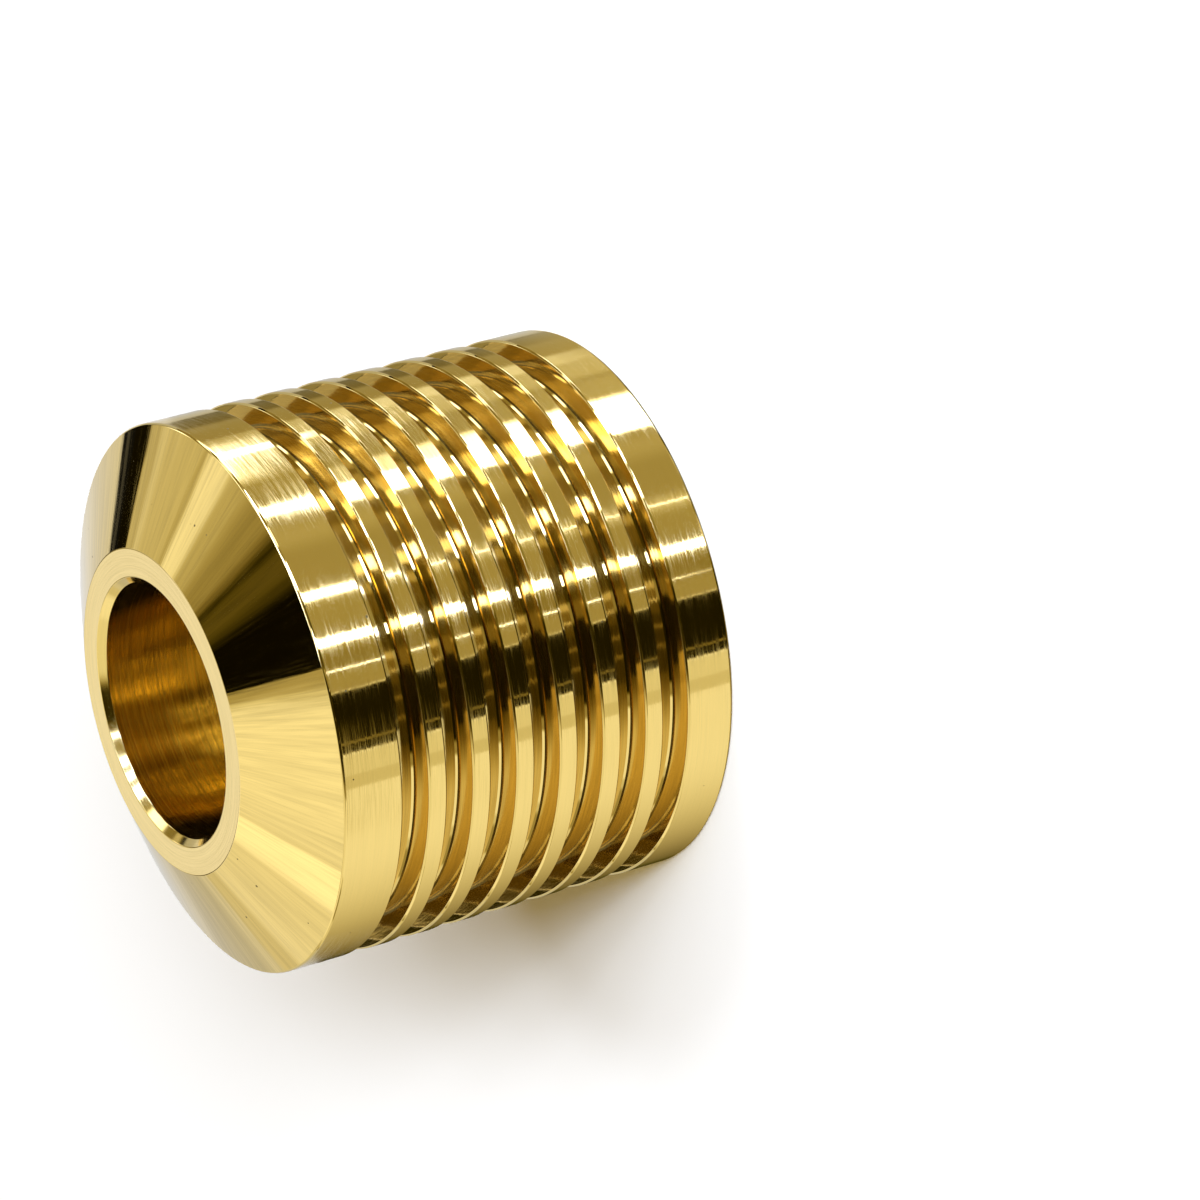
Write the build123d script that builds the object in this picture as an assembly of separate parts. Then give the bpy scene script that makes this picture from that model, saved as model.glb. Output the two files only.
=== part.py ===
from build123d import *
import os

# Turned brass handle weight: one solid of revolution about Z.
# It stands on its open, counterbored end (Z = 0); the coned end with the ring face is on top.
# All sizes in millimetres.

# Body
outer_dia = 40.0          # over the lands and ribs
rear_land = 3.7           # plain band behind the last groove
front_land = 4.5          # plain band between the first groove and the cone
cone_height = 3.8         # axial height of the cone
face_ring_width = 2.55    # flat ring between the cone and the bore

# Grooves, cut square with a little draft
groove_count = 7
groove_width = 2.05       # at the outer diameter
rib_width = 1.44          # between two grooves, at the outer diameter
groove_depth = 2.0
groove_draft = 2.0        # degrees, each groove wall off the plane square to the axis

# Bore and counterbore
bore_dia = 18.6
rim_width = 2.5           # flat rim round the counterbore
counterbore_depth = 13.0
counterbore_corner = 0.6  # bevel between the counterbore wall and its floor

# Broken edges
edge_break = 0.15         # rib and land edges at the grooves
cone_edge_break = 0.2     # edge between the cone and the front land
rim_edge_break = 0.25     # outer edge of the open end
mouth_chamfer = 0.5       # both ends of the bore
counterbore_mouth_break = 0.15

# Derived sizes
outer_radius = outer_dia / 2
bore_radius = bore_dia / 2
face_radius = bore_radius + face_ring_width
counterbore_radius = outer_radius - rim_width
groove_pitch = groove_width + rib_width
grooved_length = groove_count * groove_pitch - rib_width
shoulder_z = rear_land + grooved_length + front_land
overall_length = shoulder_z + cone_height
first_groove_z = rear_land + groove_width / 2
tool_overrun = 1.0        # how far each cutter runs past the surface it opens


def revolve_outline(points):
    """Turns a closed outline of (radius, height) points about Z."""
    with BuildPart() as turned:
        with BuildSketch(Plane.XZ):
            with BuildLine():
                Polyline(points, close=True)
            make_face()
        revolve(axis=Axis.Z)
    return turned.part


def blank():
    """Bar with the front cone turned on it and its two outer edges broken."""
    with BuildPart() as bar:
        add(revolve_outline([
            (0, 0),
            (outer_radius, 0),
            (outer_radius, shoulder_z),
            (face_radius, overall_length),
            (0, overall_length),
        ]))
        rims = bar.edges().filter_by(GeomType.CIRCLE)
        shoulder = rims.filter_by(lambda rim: abs(rim.center().Z - shoulder_z) < 1e-4)
        foot = rims.filter_by(lambda rim: abs(rim.center().Z) < 1e-4)
        chamfer(shoulder, length=cone_edge_break)
        chamfer(foot, length=rim_edge_break)
    return bar.part


def groove_cutter():
    """Ring that cuts one groove centred on Z = 0, with its broken edges."""
    half_width = groove_width / 2
    lean = tan_deg(groove_draft)
    foot_radius = outer_radius - groove_depth
    half_foot = half_width - groove_depth * lean
    break_radius = outer_radius - edge_break
    half_break = half_width - edge_break * lean
    half_mouth = half_width + edge_break
    top_radius = outer_radius + tool_overrun
    return revolve_outline([
        (top_radius, -half_mouth),
        (outer_radius, -half_mouth),
        (break_radius, -half_break),
        (foot_radius, -half_foot),
        (foot_radius, half_foot),
        (break_radius, half_break),
        (outer_radius, half_mouth),
        (top_radius, half_mouth),
    ])


def tan_deg(angle):
    """Tangent of an angle given in degrees."""
    side = Vector(1, 0, 0).rotate(Axis.Z, angle)
    return side.Y / side.X


def bore_cutter():
    """Through bore with a chamfer at the ring face and one at the counterbore floor."""
    low = counterbore_depth
    high = overall_length
    wide = bore_radius + mouth_chamfer
    return revolve_outline([
        (0, low - tool_overrun),
        (wide, low - tool_overrun),
        (wide, low),
        (bore_radius, low + mouth_chamfer),
        (bore_radius, high - mouth_chamfer),
        (wide, high),
        (wide, high + tool_overrun),
        (0, high + tool_overrun),
    ])


def counterbore_cutter():
    """Recess in the open end, with a bevelled floor corner and a broken mouth."""
    wide = counterbore_radius + counterbore_mouth_break
    wall_end = counterbore_depth - counterbore_corner
    floor_radius = counterbore_radius - counterbore_corner
    return revolve_outline([
        (0, -tool_overrun),
        (wide, -tool_overrun),
        (wide, 0),
        (counterbore_radius, counterbore_mouth_break),
        (counterbore_radius, wall_end),
        (floor_radius, counterbore_depth),
        (0, counterbore_depth),
    ])


def handle_weight():
    """The finished weight."""
    with BuildPart() as weight:
        add(blank())
        with Locations([(0, 0, first_groove_z + i * groove_pitch) for i in range(groove_count)]):
            add(groove_cutter(), mode=Mode.SUBTRACT)
        add(counterbore_cutter(), mode=Mode.SUBTRACT)
        add(bore_cutter(), mode=Mode.SUBTRACT)
    weight.part.label = "handle_weight"
    return weight.part


os.makedirs("parts", exist_ok=True)
export_step(handle_weight(), "parts/handle_weight.step")
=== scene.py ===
"""Turned brass handle weight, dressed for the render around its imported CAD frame.

The weight is one solid of revolution about Z.  It stands on its open, counterbored end and is
seen from above its coned nose.  Lengths in the classes are millimetres; the frame is in metres.
"""
import logging
import math
from dataclasses import dataclass, field
from enum import Enum

import bmesh
import bpy
from mathutils import Matrix, Vector


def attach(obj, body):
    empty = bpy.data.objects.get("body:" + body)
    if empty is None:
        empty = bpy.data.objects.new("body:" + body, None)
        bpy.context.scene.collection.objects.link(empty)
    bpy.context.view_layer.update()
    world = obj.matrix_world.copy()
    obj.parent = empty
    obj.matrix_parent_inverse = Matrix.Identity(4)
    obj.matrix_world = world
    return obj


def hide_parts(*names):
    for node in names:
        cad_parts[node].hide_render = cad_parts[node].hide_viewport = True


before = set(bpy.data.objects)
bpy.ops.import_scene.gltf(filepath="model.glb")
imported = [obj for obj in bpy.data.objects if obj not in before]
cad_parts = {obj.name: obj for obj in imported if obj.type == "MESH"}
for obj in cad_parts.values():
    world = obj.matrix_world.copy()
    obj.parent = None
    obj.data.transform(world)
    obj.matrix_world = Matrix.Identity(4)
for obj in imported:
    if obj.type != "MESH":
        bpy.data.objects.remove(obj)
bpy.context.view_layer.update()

LOG = logging.getLogger("handle_weight")
MM = 0.001                      # metres in a millimetre
NODE = "handle_weight"          # the CAD node that the dressed piece stands for
BODY = "root"
SAME = 0.001                    # millimetres within which two places are the same


# ---------------------------------------------------------------- small helpers

def linear(hex_colour: str) -> tuple[float, float, float, float]:
    """Turns an sRGB hex colour into Blender's linear RGBA.

    Args:
        hex_colour: six hex digits, with or without a leading '#'.

    Returns:
        Red, green and blue in linear light, and an alpha of 1.
    """
    digits = hex_colour.lstrip("#")
    channels = [int(digits[i:i + 2], 16) / 255 for i in (0, 2, 4)]
    curve = [c / 12.92 if c <= 0.04045 else ((c + 0.055) / 1.055) ** 2.4 for c in channels]
    return curve[0], curve[1], curve[2], 1.0


def add_node(tree: bpy.types.NodeTree, kind: str, inputs: dict | None = None,
             **settings: object) -> bpy.types.Node:
    """Adds one shader node with its settings, values and links.

    Args:
        tree: the node tree of a material or of the world.
        kind: the node's type name.
        inputs: input name or index to a value, or to the output socket that feeds it.
        **settings: attributes of the node, such as operation.

    Returns:
        The new node.
    """
    node = tree.nodes.new(kind)
    for name, value in settings.items():
        setattr(node, name, value)
    for key, value in (inputs or {}).items():
        if isinstance(value, bpy.types.NodeSocket):
            tree.links.new(value, node.inputs[key])
        else:
            node.inputs[key].default_value = value
    return node


def out(tree: bpy.types.NodeTree, kind: str, inputs: dict | None = None,
        socket: int | str = 0, **settings: object) -> bpy.types.NodeSocket:
    """Adds a node as add_node does and returns one of its outputs."""
    return add_node(tree, kind, inputs, **settings).outputs[socket]


def calc(tree: bpy.types.NodeTree, operation: str, *values: object) -> bpy.types.NodeSocket:
    """Adds one Math node on numbers or sockets and returns its result."""
    return out(tree, "ShaderNodeMath", dict(enumerate(values)), operation=operation)


def ramp(tree: bpy.types.NodeTree, value: object, low: float, high: float,
         to_low: float, to_high: float) -> bpy.types.NodeSocket:
    """Maps a value from one range to another, clamped and along an S curve.

    Args:
        tree: the node tree.
        value: number or socket to map.
        low: value that gives to_low.
        high: value that gives to_high.
        to_low: result at low and below it.
        to_high: result at high and above it.

    Returns:
        Socket with the result.
    """
    return out(tree, "ShaderNodeMapRange",
               {"Value": value, "From Min": low, "From Max": high,
                "To Min": to_low, "To Max": to_high}, interpolation_type="SMOOTHSTEP")


# ---------------------------------------------------------------- finishes

# tool marks and the finer hair marks that cross them, both drawn as stretched noise
MARK_DETAIL = 2.0
MARK_ROUGHNESS = 0.6
MARK_FADE = (0.36, 0.68)        # noise at which a mark starts to darken, and is darkest
HAIR_FADE = (0.40, 0.70)        # the same for the hair marks
HAIR_BITE = (0.40, 0.66)        # noise at which a hair mark starts to roughen, and is roughest
HAIR_SPACING = 0.45             # of the tool marks' spacing
HAIR_RUN = 0.4                  # of the tool marks' run
HAIR_SHADE = 0.6                # of the tool marks' shade
CONE_MIDDLE = 15.0              # millimetres, radius at which rays have their full spacing

# pits
PIT_RADII = (0.03, 0.10)        # millimetres
PIT_GAPS = 0.72                 # share of the places that stay without a pit
PIT_SHADE = 0.75                # how much darker the metal is in a pit
PIT_ROUGHNESS = 0.4             # how much rougher


class Zone(Enum):
    """Parts of the turned surface that were finished in different ways."""

    LAND = 0                    # lands and tops of the ribs
    GROOVE = 1                  # floors of the grooves
    CONE = 2
    FACE = 3                    # ring face, and rim of the open end
    MOUTH = 4                   # chamfers of the bore
    BORE = 5
    RECESS = 6
    EDGE = 7                    # broken edges
    FOOT = 8                    # lower flat in the corners of a groove
    WALL = 9                    # sides of the grooves
    SEAM = 10                   # upper flat in the corners of a groove


class Marks(Enum):
    """The way the tool and the mop ran over a surface."""

    ROUND = 0
    RADIAL = 1


@dataclass(frozen=True)
class BrassFinish:
    """One finish of free-cutting brass bar, as the lathe and the polishing mop left it.

    Attributes:
        name: the material's name.
        colour: sRGB hex of the bare metal seen head on.
        roughness: microfacet roughness between the tool marks.
        rougher: roughness at the bottom of a tool mark.
        mark_mm: spacing of the tool marks across their run.
        run_mm: how far one mark runs before it changes.
        tilt: how far a mark tips the surface sideways, as a slope.
        shade: how much darker the metal is in a mark, 0 to 1.
        pit_mm: spacing of the places where a pit may sit; 0 for none.
        marks: the way the marks run.
    """

    name: str
    colour: str
    roughness: float
    rougher: float
    mark_mm: float
    run_mm: float
    tilt: float
    shade: float
    pit_mm: float = 0.0
    marks: Marks = Marks.ROUND

    def make(self) -> bpy.types.Material:
        """Builds the material.

        Returns:
            The material, with its patterns on Object coordinates.
        """
        material = bpy.data.materials.new(self.name)
        material.use_nodes = True
        tree = material.node_tree
        tree.nodes.clear()
        spot = out(tree, "ShaderNodeTexCoord", socket="Object")
        x, y, z = add_node(tree, "ShaderNodeSeparateXYZ", {0: spot}).outputs
        flat = out(tree, "ShaderNodeCombineXYZ", {"X": x, "Y": y})
        radius = out(tree, "ShaderNodeVectorMath", {0: flat}, "Value", operation="LENGTH")
        marks = self._noise(tree, x, y, z, radius, self.mark_mm, self.run_mm)
        hair = self._noise(tree, x, y, z, radius, self.mark_mm * HAIR_SPACING,
                           self.run_mm * HAIR_RUN)
        sideways = out(tree, "ShaderNodeTangent", direction_type="RADIAL", axis="Z")
        normal = out(tree, "ShaderNodeNewGeometry", socket="Normal")
        slope = calc(tree, "MULTIPLY", calc(tree, "SUBTRACT", marks, 0.5), self.tilt)
        lean = out(tree, "ShaderNodeVectorMath", {0: sideways, "Scale": slope}, operation="SCALE")
        tipped = out(tree, "ShaderNodeVectorMath", {0: normal, 1: lean}, operation="ADD")
        tipped = out(tree, "ShaderNodeVectorMath", {0: tipped}, operation="NORMALIZE")
        rough = ramp(tree, hair, *HAIR_BITE, self.roughness, self.rougher)
        light = calc(tree, "MULTIPLY", ramp(tree, marks, *MARK_FADE, 1.0, 1.0 - self.shade),
                     ramp(tree, hair, *HAIR_FADE, 1.0, 1.0 - self.shade * HAIR_SHADE))
        if self.pit_mm:
            pit = self._pits(tree, spot)
            light = calc(tree, "MULTIPLY", light, calc(tree, "MULTIPLY_ADD", pit, -PIT_SHADE, 1.0))
            rough = calc(tree, "MULTIPLY_ADD", pit, PIT_ROUGHNESS, rough)
        colour = out(tree, "ShaderNodeVectorMath",
                     {0: linear(self.colour)[:3], "Scale": light}, operation="SCALE")
        shader = out(tree, "ShaderNodeBsdfPrincipled",
                     {"Base Color": colour, "Metallic": 1.0, "Roughness": rough,
                      "Normal": tipped})
        add_node(tree, "ShaderNodeOutputMaterial", {"Surface": shader})
        return material

    def _noise(self, tree: bpy.types.NodeTree, x: object, y: object, z: object, radius: object,
               mark_mm: float, run_mm: float) -> bpy.types.NodeSocket:
        """Long thin marks, as noise from 0 to 1.

        Args:
            tree: the material's node tree.
            x: socket with the place along X, in metres.
            y: socket with the place along Y.
            z: socket with the place along Z.
            radius: socket with the distance from the axis.
            mark_mm: spacing of the marks.
            run_mm: about how long one mark is.

        Returns:
            Socket with the noise.
        """
        third: object = 0.0
        if self.marks is Marks.RADIAL:
            turn = calc(tree, "ARCTAN2", x, y)
            across = calc(tree, "MULTIPLY", turn, CONE_MIDDLE / mark_mm)
            along = calc(tree, "MULTIPLY", radius, 1 / (run_mm * MM))
        else:
            reach = calc(tree, "ADD", z, radius)
            across = calc(tree, "MULTIPLY", reach, 1 / (mark_mm * MM))
            along = calc(tree, "MULTIPLY", x, 1 / (run_mm * MM))
            third = calc(tree, "MULTIPLY", y, 1 / (run_mm * MM))
        place = out(tree, "ShaderNodeCombineXYZ", {"X": across, "Y": along, "Z": third})
        return out(tree, "ShaderNodeTexNoise",
                   {"Vector": place, "Scale": 1.0, "Detail": MARK_DETAIL,
                    "Roughness": MARK_ROUGHNESS},
                   noise_dimensions="3D")

    def _pits(self, tree: bpy.types.NodeTree, spot: object) -> bpy.types.NodeSocket:
        """Small specks where the metal tore or a chip was rolled in.

        Args:
            tree: the material's node tree.
            spot: socket with the place on the object.

        Returns:
            Socket that is 1 inside a pit and 0 outside.
        """
        cells = add_node(tree, "ShaderNodeTexVoronoi",
                         {"Vector": spot, "Scale": 1 / (self.pit_mm * MM)})
        chance, size, _ = add_node(tree, "ShaderNodeSeparateColor",
                                   {0: cells.outputs["Color"]}).outputs
        small, large = (radius / self.pit_mm for radius in PIT_RADII)
        reach = ramp(tree, size, 0.0, 1.0, small, large)
        inside = calc(tree, "LESS_THAN", cells.outputs["Distance"], reach)
        return calc(tree, "MULTIPLY", inside, calc(tree, "GREATER_THAN", chance, PIT_GAPS))


# ---------------------------------------------------------------- the weight

# millimetres by which a zone reaches past its sharp corners, to take in their rounds
BORE_MARGIN = 0.03
FACE_MARGIN = 0.06
CONE_MARGIN = 0.05              # up the axis
CONE_INSET = 0.11               # in from the outer diameter
EDGE_MARGIN = 0.13
GROOVE_MARGIN = 0.1             # below the groove's floor
LAND_MARGIN = 0.2               # below the first groove
RIM_MARGIN = 0.1
LOWER_FLAT = 0.3                # share of a groove corner's height that its lower flat takes
CORNER_REACH = 1.1              # of a corner's bevel, to find the rings beside it


@dataclass
class TurnedWeight:
    """The brass weight: body with its lands, ribs and grooves, coned nose, bore and recess.

    Attributes:
        radius: over the lands and ribs.
        rear_land: plain band behind the first groove.
        groove_width: at the outer diameter.
        rib_width: between two grooves.
        groove_depth: radial depth.
        groove_foot: half the width of the groove's floor.
        grooves: how many grooves there are.
        shoulder: height at which the cone starts.
        length: height of the nose's ring face.
        face_radius: outer radius of the ring face.
        bore_radius: radius of the through bore.
        mouth: chamfer at both ends of the bore.
        recess_radius: radius of the counterbore.
        recess_depth: depth of the counterbore.
        recess_mouth: chamfer at its mouth.
        brow: chamfer on the brow of every groove.
        foot_bevel: size of the two flats in the corners of the groove's floor.
        brow_rub: how far the edges of the brow's chamfer are rubbed round.
        cone_round: round between the front land and the cone.
        rear_round: round at the outer edge of the open end.
        face_round: round at both edges of the ring face and at the inner mouth.
        mouth_round: round between the bore and its chamfers, and at the recess's mouth.
        recess_round: round between the recess's wall and its floor.
        segments: sides of the turned mesh.
        finishes: the material of each zone.
    """

    radius: float = 20.0
    rear_land: float = 3.7
    groove_width: float = 2.05
    rib_width: float = 1.44
    groove_depth: float = 2.0
    groove_foot: float = 0.955
    grooves: int = 7
    shoulder: float = 31.19
    length: float = 34.99
    face_radius: float = 11.85
    bore_radius: float = 9.3
    mouth: float = 0.5
    recess_radius: float = 17.5
    recess_depth: float = 13.0
    recess_mouth: float = 0.15
    brow: float = 0.12
    foot_bevel: float = 0.22
    brow_rub: float = 0.03
    cone_round: float = 0.15
    rear_round: float = 0.25
    face_round: float = 0.05
    mouth_round: float = 0.04
    recess_round: float = 0.6
    segments: int = 320
    finishes: dict[Zone, bpy.types.Material] = field(default_factory=dict)

    @property
    def pitch(self) -> float:
        """Distance from one groove to the next."""
        return self.groove_width + self.rib_width

    def build(self) -> bpy.types.Object:
        """Models the piece, dresses it and hands it to the frame.

        Returns:
            The finished piece.
        """
        sleeve = self._grooved_sleeve()
        core = self._core()
        piece = self._join(sleeve, core)
        self._round_edges(piece)
        self._finish_mesh(piece)
        self._dress(piece)
        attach(piece, BODY)
        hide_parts(NODE)
        return piece

    def _turn(self, name: str, stations: list[tuple[float, float]]) -> bpy.types.Object:
        """Draws a ring out along stations, as a lathe tool would pass along them.

        Args:
            name: the new object's name.
            stations: (radius, height) of each ring, in order.

        Returns:
            The open sleeve, in millimetres.
        """
        bpy.ops.object.select_all(action="DESELECT")
        r, z = stations[0]
        bpy.ops.mesh.primitive_circle_add(vertices=self.segments, radius=r,
                                          fill_type="NOTHING", location=(0, 0, z))
        piece = bpy.context.object
        piece.name = name
        bpy.ops.object.transform_apply(location=True, rotation=True, scale=True)
        bpy.ops.object.mode_set(mode="EDIT")
        bpy.ops.mesh.select_all(action="SELECT")
        for r_next, z_next in stations[1:]:
            bpy.ops.mesh.extrude_region_move(TRANSFORM_OT_translate={"value": (0, 0, z_next - z)})
            bpy.ops.transform.resize(value=(r_next / r, r_next / r, 1),
                                     center_override=(0, 0, z_next))
            r, z = r_next, z_next
        bpy.ops.object.mode_set(mode="OBJECT")
        return piece

    def _grooved_sleeve(self) -> bpy.types.Object:
        """One groove and the rib above it, repeated up the body.

        Returns:
            The open sleeve of all the grooves, in millimetres.
        """
        start = self.rear_land
        middle = start + self.groove_width / 2
        foot = self.radius - self.groove_depth
        sleeve = self._turn("weight_body", [
            (self.radius, start),
            (foot, middle - self.groove_foot),
            (foot, middle + self.groove_foot),
            (self.radius, start + self.groove_width),
            (self.radius, start + self.pitch),
        ])
        repeat = sleeve.modifiers.new("grooves", "ARRAY")
        repeat.count = self.grooves
        repeat.use_relative_offset = False
        repeat.use_constant_offset = True
        repeat.constant_offset_displace = (0, 0, self.pitch)
        repeat.use_merge_vertices = True
        repeat.merge_threshold = SAME
        bpy.ops.object.modifier_apply(modifier=repeat.name)
        return sleeve

    def _core(self) -> bpy.types.Object:
        """The rest of the outline, from the front land over the nose to the rear land.

        Returns:
            The open sleeve, in millimetres.
        """
        return self._turn("weight_core", [
            (self.radius, self.rear_land + self.grooves * self.pitch),
            (self.radius, self.shoulder),
            (self.face_radius, self.length),
            (self.bore_radius + self.mouth, self.length),
            (self.bore_radius, self.length - self.mouth),
            (self.bore_radius, self.recess_depth + self.mouth),
            (self.bore_radius + self.mouth, self.recess_depth),
            (self.recess_radius, self.recess_depth),
            (self.recess_radius, self.recess_mouth),
            (self.recess_radius + self.recess_mouth, 0.0),
            (self.radius, 0.0),
            (self.radius, self.rear_land),
        ])

    def _join(self, sleeve: bpy.types.Object, core: bpy.types.Object) -> bpy.types.Object:
        """Joins the two sleeves into one closed skin.

        Args:
            sleeve: the grooves.
            core: the rest of the outline.

        Returns:
            The skin.
        """
        bpy.ops.object.select_all(action="DESELECT")
        core.select_set(True)
        sleeve.select_set(True)
        bpy.context.view_layer.objects.active = sleeve
        bpy.ops.object.join()
        bpy.ops.object.mode_set(mode="EDIT")
        bpy.ops.mesh.select_all(action="SELECT")
        bpy.ops.mesh.remove_doubles(threshold=SAME)
        bpy.ops.mesh.normals_make_consistent(inside=False)
        bpy.ops.object.mode_set(mode="OBJECT")
        return sleeve

    def _round(self, piece: bpy.types.Object, places: list[tuple[float, float]],
               offset: float, segments: int) -> None:
        """Rounds the circular edges at the given places.

        Args:
            piece: the turned skin.
            places: (radius, height) of each edge.
            offset: how far the round reaches along each side.
            segments: faces across the round.
        """
        bpy.ops.object.mode_set(mode="EDIT")
        bpy.ops.mesh.select_mode(type="EDGE")
        bpy.ops.mesh.select_all(action="DESELECT")
        mesh = bmesh.from_edit_mesh(piece.data)
        for edge in mesh.edges:
            a, b = edge.verts
            if abs(a.co.z - b.co.z) > SAME:
                continue
            reach, height = a.co.xy.length, a.co.z
            if any(abs(reach - r) < SAME and abs(height - z) < SAME for r, z in places):
                edge.select = abs(b.co.xy.length - reach) < SAME
        bmesh.update_edit_mesh(piece.data)
        bpy.ops.mesh.bevel(offset=offset, offset_type="OFFSET", segments=segments, profile=0.5,
                           affect="EDGES")
        bpy.ops.object.mode_set(mode="OBJECT")

    def _round_edges(self, piece: bpy.types.Object) -> None:
        """Breaks every corner as the file, the tool nose and the mop left it.

        Args:
            piece: the turned skin.
        """
        foot = self.radius - self.groove_depth
        wall = Vector((self.groove_depth, self.groove_width / 2 - self.groove_foot)).normalized()
        brows, breaks, feet = [], [], []
        for i in range(self.grooves):
            start = self.rear_land + i * self.pitch
            middle = start + self.groove_width / 2
            for way in (-1, 1):
                brow = middle + way * self.groove_width / 2
                brows.append((self.radius, brow))
                breaks += [(self.radius, brow + way * self.brow),
                           (self.radius - wall.x * self.brow, brow - way * wall.y * self.brow)]
                feet.append((foot, middle + way * self.groove_foot))
        wide = self.bore_radius + self.mouth
        self._round(piece, brows, self.brow, 1)
        self._round(piece, breaks, self.brow_rub, 2)
        self._round(piece, feet, self.foot_bevel, 2)
        self._keep_crisp(piece, feet)
        self._round(piece, [(self.radius, self.shoulder)], self.cone_round, 4)
        self._round(piece, [(self.radius, 0.0)], self.rear_round, 3)
        self._round(piece, [(self.face_radius, self.length), (wide, self.length),
                            (wide, self.recess_depth)], self.face_round, 2)
        self._round(piece, [(self.bore_radius, self.length - self.mouth),
                            (self.bore_radius, self.recess_depth + self.mouth),
                            (self.recess_radius, self.recess_mouth),
                            (self.recess_radius + self.recess_mouth, 0.0)],
                    self.mouth_round, 2)
        self._round(piece, [(self.recess_radius, self.recess_depth)], self.recess_round, 6)

    def _keep_crisp(self, piece: bpy.types.Object, places: list[tuple[float, float]]) -> None:
        """Marks the rings next to the given places sharp, so that their flats shade flat.

        Args:
            piece: the turned skin.
            places: (radius, height) of each corner before it was bevelled.
        """
        bpy.ops.object.mode_set(mode="EDIT")
        bpy.ops.mesh.select_all(action="DESELECT")
        mesh = bmesh.from_edit_mesh(piece.data)
        reach = self.foot_bevel * CORNER_REACH
        for edge in mesh.edges:
            a, b = edge.verts
            r, z = a.co.xy.length, a.co.z
            level = abs(z - b.co.z) < SAME and abs(r - b.co.xy.length) < SAME
            edge.select = level and any(abs(r - r0) < reach and abs(z - z0) < reach
                                        for r0, z0 in places)
        bmesh.update_edit_mesh(piece.data)
        bpy.ops.mesh.mark_sharp()
        bpy.ops.object.mode_set(mode="OBJECT")

    def _finish_mesh(self, piece: bpy.types.Object) -> None:
        """Smooths the shading by area, so that flats stay flat, and turns the mesh to metres.

        Args:
            piece: the turned skin, in millimetres.
        """
        bpy.ops.object.select_all(action="DESELECT")
        piece.select_set(True)
        bpy.context.view_layer.objects.active = piece
        bpy.ops.object.shade_smooth()
        weigh = piece.modifiers.new("even_shading", "WEIGHTED_NORMAL")
        weigh.mode = "FACE_AREA"
        weigh.weight = 100
        weigh.keep_sharp = True
        bpy.ops.object.modifier_apply(modifier=weigh.name)
        piece.scale = (MM, MM, MM)
        bpy.ops.object.transform_apply(location=False, rotation=False, scale=True)

    def _zone_of(self, r: float, z: float) -> Zone:
        """Says which finish a face has.

        Args:
            r: distance of the face's middle from the axis, millimetres.
            z: height of its middle, millimetres.

        Returns:
            The zone that it belongs to.
        """
        above_floor = r - (self.radius - self.groove_depth)
        if (r < self.bore_radius + self.mouth + BORE_MARGIN
                and z > self.recess_depth - BORE_MARGIN):
            low, high = self.recess_depth + self.mouth, self.length - self.mouth
            return Zone.BORE if low < z < high else Zone.MOUTH
        if z > self.length - FACE_MARGIN:
            return Zone.FACE
        if z > self.shoulder + CONE_MARGIN and r < self.radius - CONE_INSET:
            return Zone.CONE
        if r > self.radius - SAME:
            return Zone.LAND
        if r > self.radius - EDGE_MARGIN:
            return Zone.EDGE
        if above_floor > -GROOVE_MARGIN and z > self.rear_land - LAND_MARGIN:
            return self._groove_zone(above_floor, z)
        if z < RIM_MARGIN:
            return Zone.FACE
        return Zone.RECESS

    def _groove_zone(self, above_floor: float, z: float) -> Zone:
        """Says which finish a face inside a groove has.

        Args:
            above_floor: how far its middle stands off the groove's floor, millimetres.
            z: height of its middle, millimetres.

        Returns:
            The zone that it belongs to.
        """
        from_middle = abs((z - self.rear_land) % self.pitch - self.groove_width / 2)
        if above_floor > self.foot_bevel:
            return Zone.WALL
        if from_middle < self.groove_foot - self.foot_bevel:
            return Zone.GROOVE
        return Zone.FOOT if above_floor < self.foot_bevel * LOWER_FLAT else Zone.SEAM

    def _dress(self, piece: bpy.types.Object) -> None:
        """Gives each zone of the skin its finish.

        Args:
            piece: the piece, in metres.
        """
        for zone in Zone:
            piece.data.materials.append(self.finishes[zone])
        for face in piece.data.polygons:
            centre = face.center / MM
            face.material_index = self._zone_of(centre.xy.length, centre.z).value


# ---------------------------------------------------------------- the studio

SEEN_BY_FLOORS = (21, 10)       # elevation and height of what the groove floors mirror
ALL_BROWN = 400                 # azimuths past either end of the circle, for Band.grey_from
ALL_GREY = -400
BAND_LAP = 1e-3                 # degrees by which a band reaches past its start

# tint of the room: brown where it is dim, for the brass lights itself, and cool softboxes
GREY_FADE = 25.0                # degrees of azimuth over which brown turns to grey
BROWN_GREEN = 0.16              # powers by which green and blue fall below red
BROWN_BLUE = 0.88
LEAST_GREEN = 0.77
DARKEST = 1e-4
FULL_GLOW = 5.0                 # glow at which a softbox has its full tint
COOL_GREEN = 1.25               # green and blue of a softbox, of its red
COOL_BLUE = 2.4


@dataclass(frozen=True)
class Panel:
    """A softbox, white card or black flag, as the brass sees it in the distance.

    Attributes:
        azimuth: middle of the panel, degrees from -Y towards +X.
        width: degrees of azimuth.
        glow: its brightness, where 1 is white paper.
        blur: softness of its upright edges, degrees.
        elevation: middle of the panel, degrees above the horizon.
        height: degrees of elevation; 0 for the full height of its band.
        fade: softness of its level edges, degrees.
    """

    azimuth: float
    width: float
    glow: float
    blur: float = 1.0
    elevation: float = 0.0
    height: float = 0.0
    fade: float = 2.0


@dataclass(frozen=True)
class Band:
    """One strip of the surroundings, with the panels that stand in it.

    Attributes:
        bottom: elevation at which it starts, degrees.
        beyond: azimuth on either side at which it starts, degrees.
        grey_from: azimuth from which its dim parts are grey, not brown.
        panels: its panels, each in front of those before it, with their numbers in the
            order of Panel's attributes.
    """

    bottom: float
    beyond: float
    grey_from: float
    panels: tuple[Panel, ...]


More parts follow.
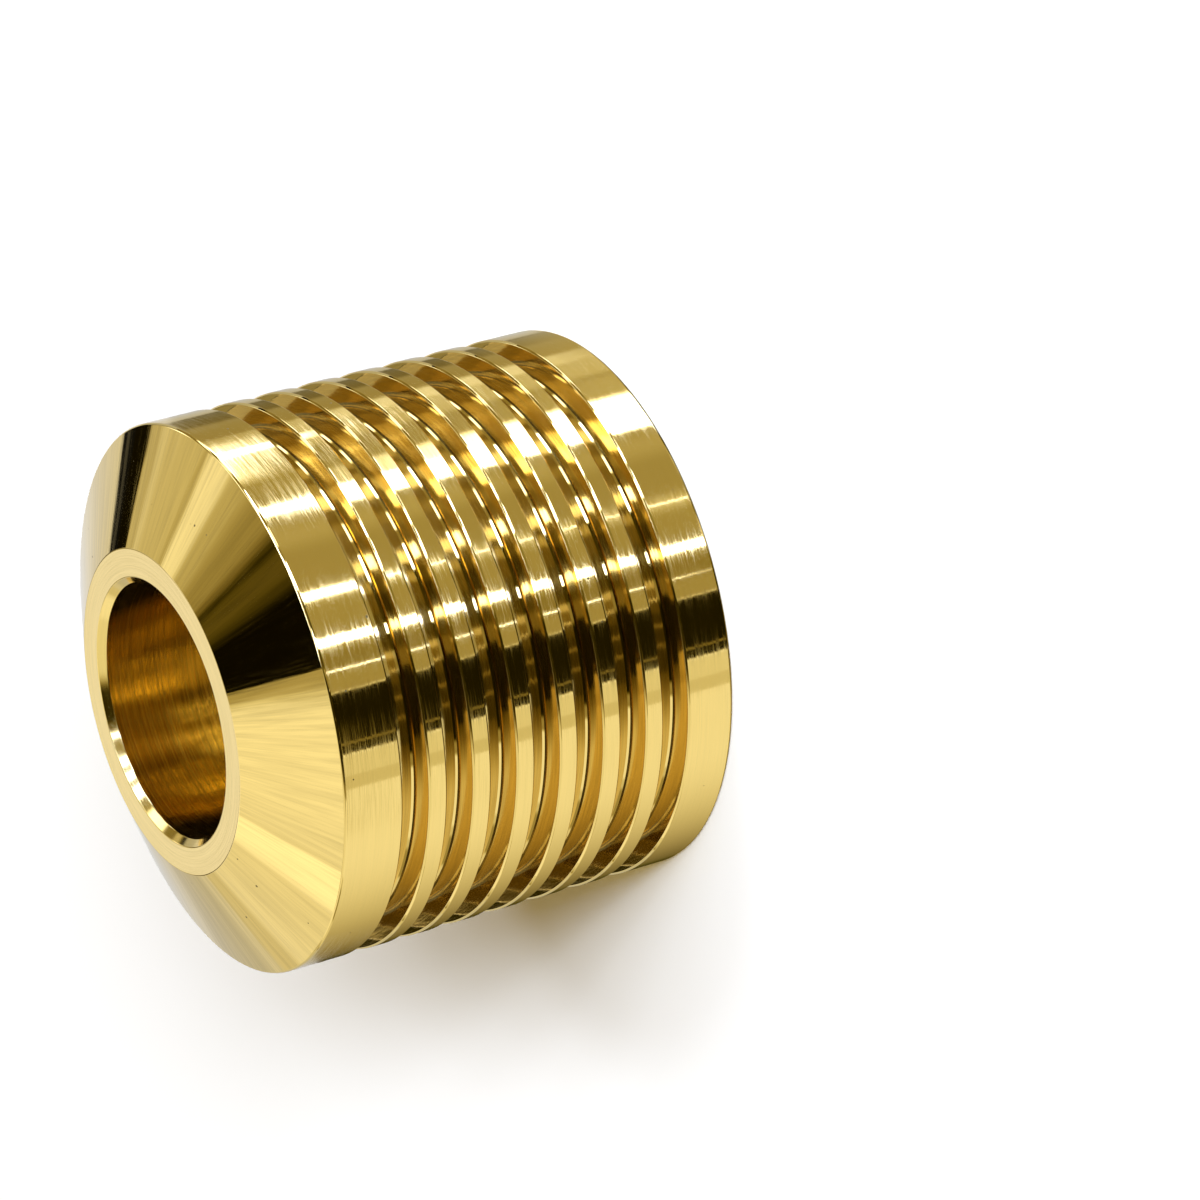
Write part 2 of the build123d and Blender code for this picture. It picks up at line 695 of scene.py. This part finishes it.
@dataclass
class Studio:
    """Pale table, studio surroundings, lamps and camera.

    Attributes:
        floor_side: side of the square floor.
        camera_place: the camera, in millimetres.
        camera_aim: a point on its axis, in millimetres.
        camera_roll: turn about its own axis, degrees.
        lens: focal length on the sensor.
        sensor: width of the sensor.
        clip_near: nearest that the camera sees.
        clip_far: farthest that the camera sees.
        surround: brightness of the room where no panel stands.
        soft: even brightness of the tent that lights the table.
        bounce: colour of that light, warmed by the brass.
        table_colour: the table's sRGB hex.
        lamp_low: place of the lowest of the lamps in their row.
        lamp_high: place of the highest.
        lamp_powers: power of each lamp from the lowest up, watts.
        lamp_size: their diameter.
        lamp_colour: their sRGB hex, cool so that the shadow stays warm.
    """

    floor_side: float = 6000.0
    camera_place: tuple[float, float, float] = (0.0, -378.21, 197.01)
    camera_aim: tuple[float, float, float] = (-0.435, 0.0, -1.01)
    camera_roll: float = -105.14
    lens: float = 175.13
    sensor: float = 36.0
    clip_near: float = 10.0
    clip_far: float = 20000.0
    surround: float = 0.12
    soft: float = 0.30
    bounce: str = "#FFDD91"
    table_colour: str = "#FCFCFC"
    lamp_low: tuple[float, float, float] = (966.0, -5478.0, 2248.0)
    lamp_high: tuple[float, float, float] = (2656.0, -1000.0, 5320.0)
    lamp_powers: tuple[float, ...] = (282.0, 138.0, 78.0, 42.0, 65.0)
    lamp_size: float = 1200.0
    lamp_colour: str = "#E8F1FF"

    def under(self) -> Band:
        """Light thrown up by the table, which only the corners of the grooves find.

        Returns:
            The band.
        """
        return Band(-90, 0, ALL_BROWN, (
            Panel(-110, 80, 0.40, 16),
            Panel(-34, 60, 0.01, 6),
            Panel(19, 10, 1.5, 4),
            Panel(36, 16, 0.05, 4),
            Panel(55, 10, 1.5, 4),
            Panel(92, 60, 0.06, 6),
        ))

    def table_level(self) -> Band:
        """Softboxes, cards and flags below the horizon, which the lands and the bore mirror.

        Returns:
            The band.
        """
        return Band(-40, 0, 150, (
            # white side of the table, darker towards its far end
            Panel(-52, 149, 1.0, 97),
            Panel(-48, 6, 0.72, 1.0),
            Panel(-41, 8, 0.84, 0.8),
            Panel(-174, 20, 0.07, 10),
            # grey card on the other side
            Panel(57, 130, 0.40, 1.5),
            Panel(57, 10, 0.50, 9),
            Panel(118.5, 9, 0.56, 3),
            Panel(131, 18, 0.36, 4),
            Panel(145, 14, 0.19, 5),
            Panel(167, 26, 0.56, 4),
            Panel(92, 13, 0.57, 5, -31, 7, 2),
            Panel(162, 24, 0.70, 4, -31.5, 7, 2),
            Panel(135, 34, 0.46, 6, -34, 13, 1.5),
            # black flag with the gaps beside it
            Panel(-23.5, 25, 0.012, 0.8),
            Panel(-34.0, 1.2, 0.035, 0.5),
            Panel(-31.8, 1.0, 0.24, 0.5),
            Panel(-7.6, 5.6, 0.40, 1.0),
            Panel(1.0, 9, 0.29, 3),
            Panel(-2.1, 0.7, 3.0, 0.3, -25, 7, 1.0),
            # softboxes: the second is wide only for the front land, the third wider below it
            Panel(9.9, 3.2, 6.5, 1.6),
            Panel(29.5, 6.0, 0.60, 5),
            Panel(29.5, 0.9, 2.6, 0.5),
            Panel(29.5, 3.3, 6.5, 2.2, -17.5, 15.9, 0.5),
            Panel(70.5, 5.0, 4.0, 2.6),
            Panel(70.5, 9.6, 6.5, 2.8, -32.7, 14.5, 0.5),
            Panel(80, 10, 4.0, 4, -31, 9, 3),
            # last softbox, for the front land only, and the card below it
            Panel(108, 15, 0.64, 5),
            Panel(107.8, 4.6, 3.4, 2.4, -16.55, 17.5, 0.3),
            Panel(118, 9, 0.95, 4, -26.7, 2.6, 1.0),
            # strip that only the bore catches: dark on one side, bright on the other
            Panel(-48, 44, 0.45, 10, -20, 8, 2),
            Panel(102, 26, 6.2, 9, -20, 8, 2),
        ))

    def horizon(self) -> Band:
        """What shows in the corner of each groove.

        Returns:
            The band.
        """
        return Band(-8, 0, ALL_BROWN, (
            Panel(-120, 20, 0.80, 6),
            Panel(-102, 16, 0.36, 4),
            Panel(-90, 8, 0.70, 4),
            Panel(-70, 36, 1.0, 3),
            Panel(-49, 6, 0.34, 4),
            Panel(80, 100, 0.28, 4),
            Panel(-28, 36, 0.01, 3),
            Panel(-4.5, 9, 0.28, 2),
            Panel(16, 32, 0.04, 2),
            Panel(9.8, 4.4, 6.0, 1.2),
            Panel(38, 12, 6.5, 2),
            Panel(56, 9, 2.6, 2),
            Panel(74.5, 11, 6.5, 2),
            Panel(96, 9, 2.4, 3),
            Panel(112, 8, 2.4, 3),
        ))

    def above_horizon(self) -> Band:
        """What the floors and walls of the grooves mirror; the floors see the lowest part.

        Returns:
            The band.
        """
        return Band(19, 0, ALL_BROWN, (
            Panel(-100, 82, 0.92, 36),
            Panel(-125, 24, 1.05, 8),
            Panel(-25, 34, 0.010, 2),
            Panel(-25, 34, 0.06, 2, *SEEN_BY_FLOORS),
            Panel(-12, 6, 0.13, 2, *SEEN_BY_FLOORS),
            Panel(-4, 8, 0.26, 2),
            Panel(80, 100, 0.25, 4),
            Panel(22, 10, 0.05, 4),
            Panel(22, 10, 0.20, 4, *SEEN_BY_FLOORS),
            Panel(31, 7, 0.14, 3),
            Panel(6, 8, 0.10, 2),
            # gaps in the flag and between the softboxes, seen by the floors only
            Panel(-30, 1.6, 0.30, 0.6, *SEEN_BY_FLOORS),
            Panel(-21, 1.6, 0.32, 0.6, *SEEN_BY_FLOORS),
            Panel(-9, 1.0, 1.2, 0.5, *SEEN_BY_FLOORS),
            Panel(-2, 3.0, 0.9, 1.0, *SEEN_BY_FLOORS),
            Panel(29.5, 5, 0.7, 3, *SEEN_BY_FLOORS),
            Panel(50, 12, 0.26, 2, *SEEN_BY_FLOORS),
            Panel(84, 9, 0.62, 3, *SEEN_BY_FLOORS),
            Panel(97, 8, 0.72, 3, *SEEN_BY_FLOORS),
            Panel(117, 18, 0.22, 4, *SEEN_BY_FLOORS),
            # softboxes
            Panel(11.2, 4.2, 5.0, 1.2, 32, 10, 1.5),
            Panel(39.3, 5.6, 2.1, 2.6, *SEEN_BY_FLOORS),
            Panel(42.4, 7.0, 5.0, 2.0, 32, 12),
            Panel(60.5, 6, 0.42, 4),
            Panel(76.0, 8.0, 2.1, 3.0, *SEEN_BY_FLOORS),
            Panel(82, 7, 0.80, 4, 32, 12),
            Panel(112, 16, 2.2, 3, 36, 12, 1.5),
        ))

    def overhead(self) -> Band:
        """Light and dark overhead, which the chamfers and the broken edges catch.

        Returns:
            The band.
        """
        return Band(37, 0, ALL_BROWN, (
            Panel(-92, 66, 0.90, 20),
            Panel(-27, 50, 0.03, 14),
            Panel(0, 10, 0.14, 6),
            Panel(62, 112, 0.36, 6),
            Panel(14.5, 7, 5.0, 3),
            Panel(49.5, 9, 6.5, 3),
            Panel(66.5, 7, 6.5, 3),
            Panel(83, 10, 6.5, 3),
            Panel(110, 17, 2.4, 4),
        ))

    def far_low(self) -> Band:
        """Foot of the far wall, which the flanks of the cone mirror.

        Returns:
            The band.
        """
        return Band(-24, 131, ALL_GREY, (
            Panel(-156, 50, 0.59, 2),
            Panel(-156, 50, 0.73, 2, 15, 10, 3),
            Panel(-176, 12, 0.68, 3, -15, 18, 4),
            Panel(156, 50, 0.75, 2),
            Panel(142, 22, 0.52, 5),
            Panel(162, 20, 0.006, 4, 14, 10.6, 0.8),
            Panel(162, 20, 0.06, 4, 11, 1.4, 0.8),
            Panel(176, 12, 0.80, 3, -15, 18, 4),
        ))

    def far_high(self) -> Band:
        """Far wall and ceiling, which the cone and the ring face mirror.

        Returns:
            The band.
        """
        return Band(14, 131, ALL_BROWN, (
            # left of the bore axis: white ceiling and pale wall
            Panel(-152, 56, 0.75),
            Panel(-152, 56, 1.10, 1, 64, 20, 5),
            Panel(-177, 14, 0.45, 10, 74, 14, 4),
            Panel(-152, 56, 1.02, 1, 53, 8, 3),
            Panel(-152, 56, 1.32, 1, 43.5, 10),
            Panel(-152, 56, 0.94, 1, 27, 24, 4),
            Panel(-152, 56, 0.73, 1, 13, 14, 3),
            Panel(-142, 14, 0.45, 4, 24, 8),
            Panel(-172, 15, 0.03, 3, 26, 16, 3),
            Panel(-169, 7, 0.13, 3, 26, 16, 3),
            # right of it: black flag overhead, grey wall, dark gap
            Panel(152, 56, 0.004),
            Panel(152, 56, 0.115, 1, 65, 5, 4),
            Panel(152, 56, 0.36, 1, 56, 8, 4),
            Panel(152, 56, 0.56, 1, 49.5, 7, 4),
            Panel(152, 56, 1.08, 1, 43, 7.5, 3),
            Panel(152, 56, 0.66, 1, 31, 16, 3),
            Panel(152, 56, 0.78, 1, 24.5, 4, 3),
            Panel(152, 56, 0.62, 1, 20.5, 5, 3),
            Panel(162, 20, 0.006, 4, 14, 10.6, 0.8),
            Panel(142, 13, 2.4, 4, 26, 8),
            Panel(171.5, 13, 0.33, 3, 25, 14, 3),
            # white card opposite the ring face
            Panel(180, 6, 0.99, 2, 23.5, 12, 3),
        ))

    def build(self) -> None:
        """Sets up the whole studio."""
        scene = bpy.context.scene
        scene.view_settings.view_transform = "Standard"
        self._world(scene)
        self._floor()
        self._lamps()
        self._camera(scene)

    def _cover(self, tree: bpy.types.NodeTree, azimuth: object, elevation: object,
               panel: Panel) -> bpy.types.NodeSocket:
        """How much of a direction a panel fills, 0 to 1.

        Args:
            tree: the world's node tree.
            azimuth: socket with the direction's azimuth, degrees.
            elevation: socket with its elevation, degrees.
            panel: the panel.

        Returns:
            Socket with its cover.
        """
        aside = calc(tree, "SUBTRACT", azimuth, panel.azimuth)
        if abs(panel.azimuth) + panel.width / 2 + panel.blur / 2 > 180:
            aside = calc(tree, "WRAP", aside, 180.0, -180.0)
        cover = ramp(tree, calc(tree, "ABSOLUTE", aside), (panel.width - panel.blur) / 2,
                     (panel.width + panel.blur) / 2, 1.0, 0.0)
        if panel.height:
            above = calc(tree, "ABSOLUTE", calc(tree, "SUBTRACT", elevation, panel.elevation))
            upright = ramp(tree, above, (panel.height - panel.fade) / 2,
                           (panel.height + panel.fade) / 2, 1.0, 0.0)
            cover = calc(tree, "MULTIPLY", cover, upright)
        return cover

    def _lit(self, tree: bpy.types.NodeTree, azimuth: object, elevation: object,
             band: Band) -> bpy.types.NodeSocket:
        """Light of one band: its panels over the dim room.

        Args:
            tree: the world's node tree.
            azimuth: socket with the direction's azimuth, degrees.
            elevation: socket with its elevation, degrees.
            band: the band.

        Returns:
            Socket with its light.
        """
        glow: object = self.surround
        for panel in band.panels:
            glow = out(tree, "ShaderNodeMix",
                       {"Factor": self._cover(tree, azimuth, elevation, panel), 2: glow,
                        3: panel.glow}, data_type="FLOAT")
        warm = ramp(tree, azimuth, band.grey_from - GREY_FADE, band.grey_from + GREY_FADE,
                    1.0, 0.0)
        dim = calc(tree, "MAXIMUM", calc(tree, "MINIMUM", glow, 1.0), DARKEST)
        green = calc(tree, "POWER", dim, calc(tree, "MULTIPLY", warm, BROWN_GREEN))
        green = calc(tree, "MAXIMUM", green, LEAST_GREEN)
        green = calc(tree, "MULTIPLY", green,
                     ramp(tree, glow, 1.0, FULL_GLOW, 1.0, COOL_GREEN))
        blue = calc(tree, "POWER", dim, calc(tree, "MULTIPLY", warm, BROWN_BLUE))
        blue = calc(tree, "MULTIPLY", blue, ramp(tree, glow, 1.0, FULL_GLOW, 1.0, COOL_BLUE))
        tint = out(tree, "ShaderNodeCombineColor", {0: 1.0, 1: green, 2: blue})
        return out(tree, "ShaderNodeBackground", {"Color": tint, "Strength": glow})

    def _world(self, scene: bpy.types.Scene) -> None:
        """Paints the surroundings that the brass mirrors; the camera sees plain white.

        Args:
            scene: the scene that gets the world.
        """
        world = bpy.data.worlds.new("studio")
        scene.world = world
        world.use_nodes = True
        tree = world.node_tree
        tree.nodes.clear()
        ray = out(tree, "ShaderNodeTexCoord", socket="Generated")
        x, y, z = add_node(tree, "ShaderNodeSeparateXYZ", {0: ray}).outputs
        azimuth = calc(tree, "DEGREES", calc(tree, "ARCTAN2", x, calc(tree, "MULTIPLY", y, -1.0)))
        elevation = calc(tree, "DEGREES", calc(tree, "ARCSINE", z))
        turn = calc(tree, "ABSOLUTE", azimuth)
        room = self._lit(tree, azimuth, elevation, self.under())
        for band in (self.table_level(), self.horizon(), self.above_horizon(), self.overhead(),
                     self.far_low(), self.far_high()):
            inside = calc(tree, "MULTIPLY", calc(tree, "GREATER_THAN", elevation, band.bottom),
                          calc(tree, "GREATER_THAN", turn, band.beyond - BAND_LAP))
            lit = self._lit(tree, azimuth, elevation, band)
            room = out(tree, "ShaderNodeMixShader", {0: inside, 1: room, 2: lit})
        tent = out(tree, "ShaderNodeBackground",
                   {"Color": linear(self.bounce), "Strength": self.soft})
        backdrop = out(tree, "ShaderNodeBackground", {"Color": (1, 1, 1, 1), "Strength": 1.0})
        path = add_node(tree, "ShaderNodeLightPath")
        light = out(tree, "ShaderNodeMixShader",
                    {0: path.outputs["Is Glossy Ray"], 1: tent, 2: room})
        light = out(tree, "ShaderNodeMixShader",
                    {0: path.outputs["Is Camera Ray"], 1: light, 2: backdrop})
        add_node(tree, "ShaderNodeOutputWorld", {"Surface": light})

    def _floor(self) -> None:
        """Pale matt table under the weight, white to the camera but for the soft shadow."""
        bpy.ops.object.select_all(action="DESELECT")
        bpy.ops.mesh.primitive_plane_add(size=self.floor_side * MM, location=(0, 0, 0))
        floor = bpy.context.object
        floor.name = "table"
        # plain matt laminate: no gleam, so that only the shadow shows on it
        material = bpy.data.materials.new("matt_white_laminate")
        material.use_nodes = True
        tree = material.node_tree
        tree.nodes.clear()
        matt = out(tree, "ShaderNodeBsdfDiffuse", {"Color": linear(self.table_colour)})
        add_node(tree, "ShaderNodeOutputMaterial", {"Surface": matt})
        floor.data.materials.append(material)
        floor.visible_glossy = False

    def _lamps(self) -> None:
        """Row of large soft lamps that give the shadow on the table, the low end the strongest."""
        low, high = Vector(self.lamp_low) * MM, Vector(self.lamp_high) * MM
        steps = len(self.lamp_powers) - 1
        for i, power in enumerate(self.lamp_powers):
            name = f"softbox_{i + 1}"
            place = low.lerp(high, i / steps)
            data = bpy.data.lights.new(name, "AREA")
            data.shape = "DISK"
            data.size = self.lamp_size * MM
            data.energy = power
            data.color = linear(self.lamp_colour)[:3]
            lamp = bpy.data.objects.new(name, data)
            bpy.context.scene.collection.objects.link(lamp)
            lamp.location = place
            lamp.rotation_euler = place.to_track_quat("Z", "Y").to_euler()
            lamp.visible_glossy = False

    def _camera(self, scene: bpy.types.Scene) -> None:
        """Camera at the photograph's viewing angle, rolled as the photograph is.

        Args:
            scene: the scene that gets the camera.
        """
        data = bpy.data.cameras.new("camera")
        data.lens = self.lens
        data.sensor_width = self.sensor
        data.clip_start = self.clip_near * MM
        data.clip_end = self.clip_far * MM
        camera = bpy.data.objects.new("camera", data)
        scene.collection.objects.link(camera)
        place = Vector(self.camera_place) * MM
        aim = Vector(self.camera_aim) * MM
        level = (aim - place).to_track_quat("-Z", "Y").to_matrix()
        turn = Matrix.Rotation(math.radians(self.camera_roll), 3, "Z")
        camera.matrix_world = Matrix.Translation(place) @ (level @ turn).to_4x4()
        scene.camera = camera


# ---------------------------------------------------------------- assembly

def finishes() -> dict[Zone, bpy.types.Material]:
    """The finish of each zone of the weight.

    Returns:
        A material for each zone.
    """
    bright = "#F6D984"
    return {
        # mopped over the tool marks: mirrors the studio, its bright bands finely combed
        Zone.LAND: BrassFinish("polished_turned_brass", bright, 0.03, 0.135, 0.11, 9.0, 0.016,
                               0.025, 1.5).make(),
        # left from the grooving tool: the mirror images run along fine rings
        Zone.GROOVE: BrassFinish("grooved_turned_brass", "#F0D587", 0.05, 0.12, 0.15, 9.0, 0.035,
                                 0.12).make(),
        # sides of the grooves; painted sheen: their colour is paler than the floors', so that
        # their mirrored light shows whiter
        Zone.WALL: BrassFinish("painted_sheen_groove_wall_brass", "#F0D996", 0.05, 0.12, 0.15, 9.0, 0.035,
                               0.12).make(),
        # painted shade in the corner: a dull dark colour on the upper flat, a thin dark line
        # beside the bright one
        Zone.SEAM: BrassFinish("painted_shade_corner_brass", "#8E7F50", 0.12, 0.22, 0.2, 9.0, 0.01,
                               0.20).make(),
        # corners cut by the tool's nose: a thin line of mirrored light along every groove
        Zone.FOOT: BrassFinish("tool_cut_brass_corner", bright, 0.03, 0.07, 0.3, 9.0, 0.01,
                               0.0).make(),
        # polished up the slope: rays of slightly different tone
        Zone.CONE: BrassFinish("polished_cone_brass", bright, 0.03, 0.09, 0.42, 11.0, 0.03,
                               0.12, 1.1, Marks.RADIAL).make(),
        # faced and left satin and even; painted sheen: its colour is paler than the polished
        # brass's
        Zone.FACE: BrassFinish("satin_faced_brass_painted_sheen", "#F5DB93", 0.09, 0.15, 0.10, 14.0, 0.006,
                               0.05).make(),
        # chamfers cut last: small bright mirrors
        Zone.MOUTH: BrassFinish("chamfered_brass", bright, 0.08, 0.14, 0.12, 8.0, 0.01,
                                0.03).make(),
        # bored and not mopped: brown depth with rings
        Zone.BORE: BrassFinish("bored_brass", "#E5CC80", 0.10, 0.24, 0.24, 85.0, 0.012,
                               0.28, 1.3).make(),
        # bored and not mopped, but open to the light
        Zone.RECESS: BrassFinish("recessed_turned_brass", bright, 0.09, 0.18, 0.2, 10.0, 0.03,
                                 0.12).make(),
        # edges rubbed bright: hairlines of light
        Zone.EDGE: BrassFinish("burnished_brass_edge", bright, 0.02, 0.04, 0.3, 9.0, 0.01,
                               0.0).make(),
    }


def main() -> None:
    """Builds the weight and the studio round it."""
    logging.basicConfig(level=logging.INFO, format="%(name)s: %(message)s")
    weight = TurnedWeight(finishes=finishes())
    piece = weight.build()
    LOG.info("%s: %d faces", piece.name, len(piece.data.polygons))
    Studio().build()


if __name__ == "__main__":
    main()
